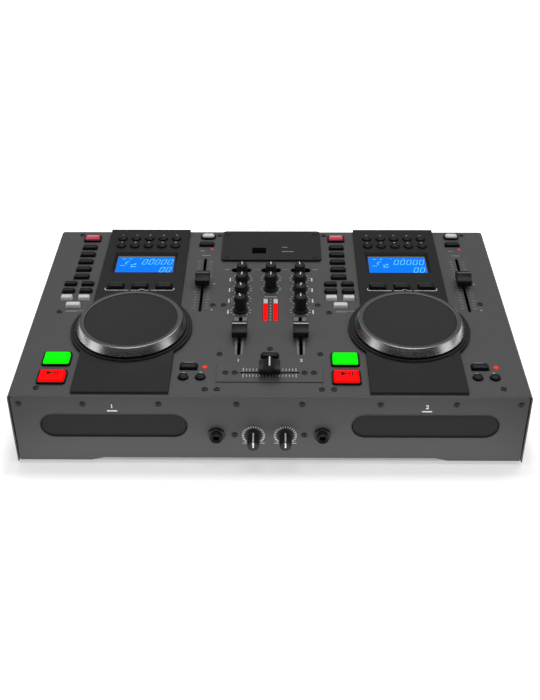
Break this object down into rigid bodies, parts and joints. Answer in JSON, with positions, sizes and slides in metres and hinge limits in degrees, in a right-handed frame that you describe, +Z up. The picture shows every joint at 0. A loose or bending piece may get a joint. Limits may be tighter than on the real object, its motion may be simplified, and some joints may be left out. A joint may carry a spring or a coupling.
{
  "type": "dual disc player with mixer",
  "caption": "Table-top dual disc player with a built-in mixer: jog wheels, screens, faders, knobs, keys that press and disc trays that slide out of the front.",
  "frame": {"origin": "centre of the whole unit, on the plane that its rubber feet stand on", "axes": "+X to the user's right, +Y to the back, +Z up; the front with the trays faces -Y"},
  "size_m": [0.482, 0.3268, 0.1051],
  "materials": {
    "cover_paint": "satin dark grey powder coat",
    "bare_steel": "plain rolled sheet",
    "plate_black": "fine black grain",
    "jog_metal": "turned and brushed, dark grey mat on top",
    "key_black": "satin",
    "key_grey": "satin black, the lower three white",
    "key_green": "translucent, lit from below",
    "key_red": "translucent, lit from below",
    "key_pink": "translucent",
    "knob_black": "soft matt black with a white line",
    "cap_black": "matt black with a white line",
    "display": "blue lit screen behind clear glass",
    "lamp": "red lens",
    "trim_black": "moulded black",
    "foot_rubber": "matt",
    "jack_metal": "nickel nut on a black barrel",
    "tray_plastic": "smooth black",
    "board": "green laminate",
    "supply": "board, transformer and heat sink"
  },
  "bodies": {
    "cabinet": {"base_tray": "bare_steel", "rubber_feet": "foot_rubber", "top_cover": "cover_paint", "front_panel": "cover_paint", "rear_panel": "cover_paint", "deck_plate_left": "plate_black", "deck_plate_right": "plate_black", "usb_plate": "plate_black", "crossfader_plate": "plate_black", "display_modules": "display", "key_bezels": "trim_black", "indicator_lamps": "lamp", "front_jacks": "jack_metal", "rear_sockets": "trim_black", "disc_drives": "bare_steel", "circuit_boards": "board", "power_supply": "supply"},
    "jog_wheel_left": {"jog_wheel_left": "jog_metal"},
    "disc_tray_left": {"disc_tray_left": "tray_plastic"},
    "pitch_fader_left": {"pitch_fader_left": "cap_black"},
    "channel_fader_left": {"channel_fader_left": "cap_black"},
    "number_keys_left": {"number_keys_left": "key_black"},
    "loop_keys_left": {"loop_keys_left": "key_black"},
    "mode_keys_left": {"mode_keys_left": "key_black"},
    "search_keys_left": {"search_keys_left": "key_grey"},
    "tempo_keys_left": {"tempo_keys_left": "key_black"},
    "cue_key_left": {"cue_key_left": "key_green"},
    "play_key_left": {"play_key_left": "key_red"},
    "eject_key_left": {"eject_key_left": "key_pink"},
    "gain_knob_left": {"gain_knob_left": "knob_black"},
    "treble_knob_left": {"treble_knob_left": "knob_black"},
    "middle_knob_left": {"middle_knob_left": "knob_black"},
    "bass_knob_left": {"bass_knob_left": "knob_black"},
    "jog_wheel_right": {"jog_wheel_right": "jog_metal"},
    "disc_tray_right": {"disc_tray_right": "tray_plastic"},
    "pitch_fader_right": {"pitch_fader_right": "cap_black"},
    "channel_fader_right": {"channel_fader_right": "cap_black"},
    "number_keys_right": {"number_keys_right": "key_black"},
    "loop_keys_right": {"loop_keys_right": "key_black"},
    "mode_keys_right": {"mode_keys_right": "key_black"},
    "search_keys_right": {"search_keys_right": "key_grey"},
    "tempo_keys_right": {"tempo_keys_right": "key_black"},
    "cue_key_right": {"cue_key_right": "key_green"},
    "play_key_right": {"play_key_right": "key_red"},
    "eject_key_right": {"eject_key_right": "key_pink"},
    "gain_knob_right": {"gain_knob_right": "knob_black"},
    "treble_knob_right": {"treble_knob_right": "knob_black"},
    "middle_knob_right": {"middle_knob_right": "knob_black"},
    "bass_knob_right": {"bass_knob_right": "knob_black"},
    "start_key": {"start_key": "key_black"},
    "master_knob": {"master_knob": "knob_black"},
    "monitor_knob": {"monitor_knob": "knob_black"},
    "microphone_knob": {"microphone_knob": "knob_black"},
    "headphone_knob": {"headphone_knob": "knob_black"},
    "crossfader": {"crossfader": "cap_black"},
    "input_switch_left": {"input_switch_left": "cap_black"},
    "input_switch_middle": {"input_switch_middle": "cap_black"},
    "input_switch_right": {"input_switch_right": "cap_black"},
    "power_rocker": {"power_rocker": "trim_black"}
  },
  "joints": [
    {"name": "jog_wheel_left_spin", "type": "hinge", "parent": "cabinet", "child": "jog_wheel_left", "pos_m": [-0.1377, -0.04252, 0.08479], "axis": [0, -0.0199, 0.9998], "continuous": true},
    {"name": "disc_tray_left_slide", "type": "slide", "parent": "cabinet", "child": "disc_tray_left", "axis": [0, -1, 0], "range_m": [0, 0.13]},
    {"name": "pitch_fader_left_slide", "type": "slide", "parent": "cabinet", "child": "pitch_fader_left", "axis": [0, 0.9998, 0.0199], "range_m": [-0.05, 0.05]},
    {"name": "channel_fader_left_slide", "type": "slide", "parent": "cabinet", "child": "channel_fader_left", "axis": [0, 0.9998, 0.0199], "range_m": [-0.027, 0.027]},
    {"name": "number_keys_left_press", "type": "slide", "parent": "cabinet", "child": "number_keys_left", "axis": [0, 0.0199, -0.9998], "range_m": [0, 0.0008], "stiffness_N_per_m": 400, "springref_m": -0.001},
    {"name": "loop_keys_left_press", "type": "slide", "parent": "cabinet", "child": "loop_keys_left", "axis": [0, 0.0199, -0.9998], "range_m": [0, 0.0008], "stiffness_N_per_m": 400, "springref_m": -0.001},
    {"name": "mode_keys_left_press", "type": "slide", "parent": "cabinet", "child": "mode_keys_left", "axis": [0, 0.0199, -0.9998], "range_m": [0, 0.0008], "stiffness_N_per_m": 400, "springref_m": -0.001},
    {"name": "search_keys_left_press", "type": "slide", "parent": "cabinet", "child": "search_keys_left", "axis": [0, 0.0199, -0.9998], "range_m": [0, 0.0008], "stiffness_N_per_m": 400, "springref_m": -0.001},
    {"name": "tempo_keys_left_press", "type": "slide", "parent": "cabinet", "child": "tempo_keys_left", "axis": [0, 0.0199, -0.9998], "range_m": [0, 0.0008], "stiffness_N_per_m": 400, "springref_m": -0.001},
    {"name": "cue_key_left_press", "type": "slide", "parent": "cabinet", "child": "cue_key_left", "axis": [0, 0.0199, -0.9998], "range_m": [0, 0.001], "stiffness_N_per_m": 400, "springref_m": -0.001},
    {"name": "play_key_left_press", "type": "slide", "parent": "cabinet", "child": "play_key_left", "axis": [0, 0.0199, -0.9998], "range_m": [0, 0.001], "stiffness_N_per_m": 400, "springref_m": -0.001},
    {"name": "eject_key_left_press", "type": "slide", "parent": "cabinet", "child": "eject_key_left", "axis": [0, 0.0199, -0.9998], "range_m": [0, 0.001], "stiffness_N_per_m": 400, "springref_m": -0.001},
    {"name": "gain_knob_left_turn", "type": "hinge", "parent": "cabinet", "child": "gain_knob_left", "pos_m": [-0.0306, 0.05356, 0.0867], "axis": [0, -0.0199, 0.9998], "range_deg": [-150, 150]},
    {"name": "treble_knob_left_turn", "type": "hinge", "parent": "cabinet", "child": "treble_knob_left", "pos_m": [-0.0306, 0.03296, 0.08629], "axis": [0, -0.0199, 0.9998], "range_deg": [-150, 150]},
    {"name": "middle_knob_left_turn", "type": "hinge", "parent": "cabinet", "child": "middle_knob_left", "pos_m": [-0.0306, 0.01237, 0.08588], "axis": [0, -0.0199, 0.9998], "range_deg": [-150, 150]},
    {"name": "bass_knob_left_turn", "type": "hinge", "parent": "cabinet", "child": "bass_knob_left", "pos_m": [-0.0306, -0.00823, 0.08547], "axis": [0, -0.0199, 0.9998], "range_deg": [-150, 150]},
    {"name": "jog_wheel_right_spin", "type": "hinge", "parent": "cabinet", "child": "jog_wheel_right", "pos_m": [0.1377, -0.04252, 0.08479], "axis": [0, -0.0199, 0.9998], "continuous": true},
    {"name": "disc_tray_right_slide", "type": "slide", "parent": "cabinet", "child": "disc_tray_right", "axis": [0, -1, 0], "range_m": [0, 0.13]},
    {"name": "pitch_fader_right_slide", "type": "slide", "parent": "cabinet", "child": "pitch_fader_right", "axis": [0, 0.9998, 0.0199], "range_m": [-0.05, 0.05]},
    {"name": "channel_fader_right_slide", "type": "slide", "parent": "cabinet", "child": "channel_fader_right", "axis": [0, 0.9998, 0.0199], "range_m": [-0.027, 0.027]},
    {"name": "number_keys_right_press", "type": "slide", "parent": "cabinet", "child": "number_keys_right", "axis": [0, 0.0199, -0.9998], "range_m": [0, 0.0008], "stiffness_N_per_m": 400, "springref_m": -0.001},
    {"name": "loop_keys_right_press", "type": "slide", "parent": "cabinet", "child": "loop_keys_right", "axis": [0, 0.0199, -0.9998], "range_m": [0, 0.0008], "stiffness_N_per_m": 400, "springref_m": -0.001},
    {"name": "mode_keys_right_press", "type": "slide", "parent": "cabinet", "child": "mode_keys_right", "axis": [0, 0.0199, -0.9998], "range_m": [0, 0.0008], "stiffness_N_per_m": 400, "springref_m": -0.001},
    {"name": "search_keys_right_press", "type": "slide", "parent": "cabinet", "child": "search_keys_right", "axis": [0, 0.0199, -0.9998], "range_m": [0, 0.0008], "stiffness_N_per_m": 400, "springref_m": -0.001},
    {"name": "tempo_keys_right_press", "type": "slide", "parent": "cabinet", "child": "tempo_keys_right", "axis": [0, 0.0199, -0.9998], "range_m": [0, 0.0008], "stiffness_N_per_m": 400, "springref_m": -0.001},
    {"name": "cue_key_right_press", "type": "slide", "parent": "cabinet", "child": "cue_key_right", "axis": [0, 0.0199, -0.9998], "range_m": [0, 0.001], "stiffness_N_per_m": 400, "springref_m": -0.001},
    {"name": "play_key_right_press", "type": "slide", "parent": "cabinet", "child": "play_key_right", "axis": [0, 0.0199, -0.9998], "range_m": [0, 0.001], "stiffness_N_per_m": 400, "springref_m": -0.001},
    {"name": "eject_key_right_press", "type": "slide", "parent": "cabinet", "child": "eject_key_right", "axis": [0, 0.0199, -0.9998], "range_m": [0, 0.001], "stiffness_N_per_m": 400, "springref_m": -0.001},
    {"name": "gain_knob_right_turn", "type": "hinge", "parent": "cabinet", "child": "gain_knob_right", "pos_m": [0.0306, 0.05356, 0.0867], "axis": [0, -0.0199, 0.9998], "range_deg": [-150, 150]},
    {"name": "treble_knob_right_turn", "type": "hinge", "parent": "cabinet", "child": "treble_knob_right", "pos_m": [0.0306, 0.03296, 0.08629], "axis": [0, -0.0199, 0.9998], "range_deg": [-150, 150]},
    {"name": "middle_knob_right_turn", "type": "hinge", "parent": "cabinet", "child": "middle_knob_right", "pos_m": [0.0306, 0.01237, 0.08588], "axis": [0, -0.0199, 0.9998], "range_deg": [-150, 150]},
    {"name": "bass_knob_right_turn", "type": "hinge", "parent": "cabinet", "child": "bass_knob_right", "pos_m": [0.0306, -0.00823, 0.08547], "axis": [0, -0.0199, 0.9998], "range_deg": [-150, 150]},
    {"name": "start_key_press", "type": "slide", "parent": "cabinet", "child": "start_key", "axis": [0, 0.0199, -0.9998], "range_m": [0, 0.0008], "stiffness_N_per_m": 400, "springref_m": -0.001},
    {"name": "master_knob_turn", "type": "hinge", "parent": "cabinet", "child": "master_knob", "pos_m": [0, 0.05356, 0.0867], "axis": [0, -0.0199, 0.9998], "range_deg": [-150, 150]},
    {"name": "monitor_knob_turn", "type": "hinge", "parent": "cabinet", "child": "monitor_knob", "pos_m": [0, 0.03296, 0.08629], "axis": [0, -0.0199, 0.9998], "range_deg": [-150, 150]},
    {"name": "microphone_knob_turn", "type": "hinge", "parent": "cabinet", "child": "microphone_knob", "pos_m": [-0.015, -0.1474, 0.0352], "axis": [0, -1, 0], "range_deg": [-150, 150]},
    {"name": "headphone_knob_turn", "type": "hinge", "parent": "cabinet", "child": "headphone_knob", "pos_m": [0.015, -0.1474, 0.0352], "axis": [0, -1, 0], "range_deg": [-150, 150]},
    {"name": "crossfader_slide", "type": "slide", "parent": "cabinet", "child": "crossfader", "axis": [1, 0, 0], "range_m": [-0.024, 0.024]},
    {"name": "input_switch_left_slide", "type": "slide", "parent": "cabinet", "child": "input_switch_left", "axis": [1, 0, 0], "range_m": [-0.0045, 0.0045]},
    {"name": "input_switch_middle_slide", "type": "slide", "parent": "cabinet", "child": "input_switch_middle", "axis": [1, 0, 0], "range_m": [-0.0045, 0.0045]},
    {"name": "input_switch_right_slide", "type": "slide", "parent": "cabinet", "child": "input_switch_right", "axis": [1, 0, 0], "range_m": [-0.0045, 0.0045]},
    {"name": "power_rocker_tilt", "type": "hinge", "parent": "cabinet", "child": "power_rocker", "pos_m": [0.146, 0.1524, 0.0435], "axis": [1, 0, 0], "range_deg": [0, 8]}
  ]
}
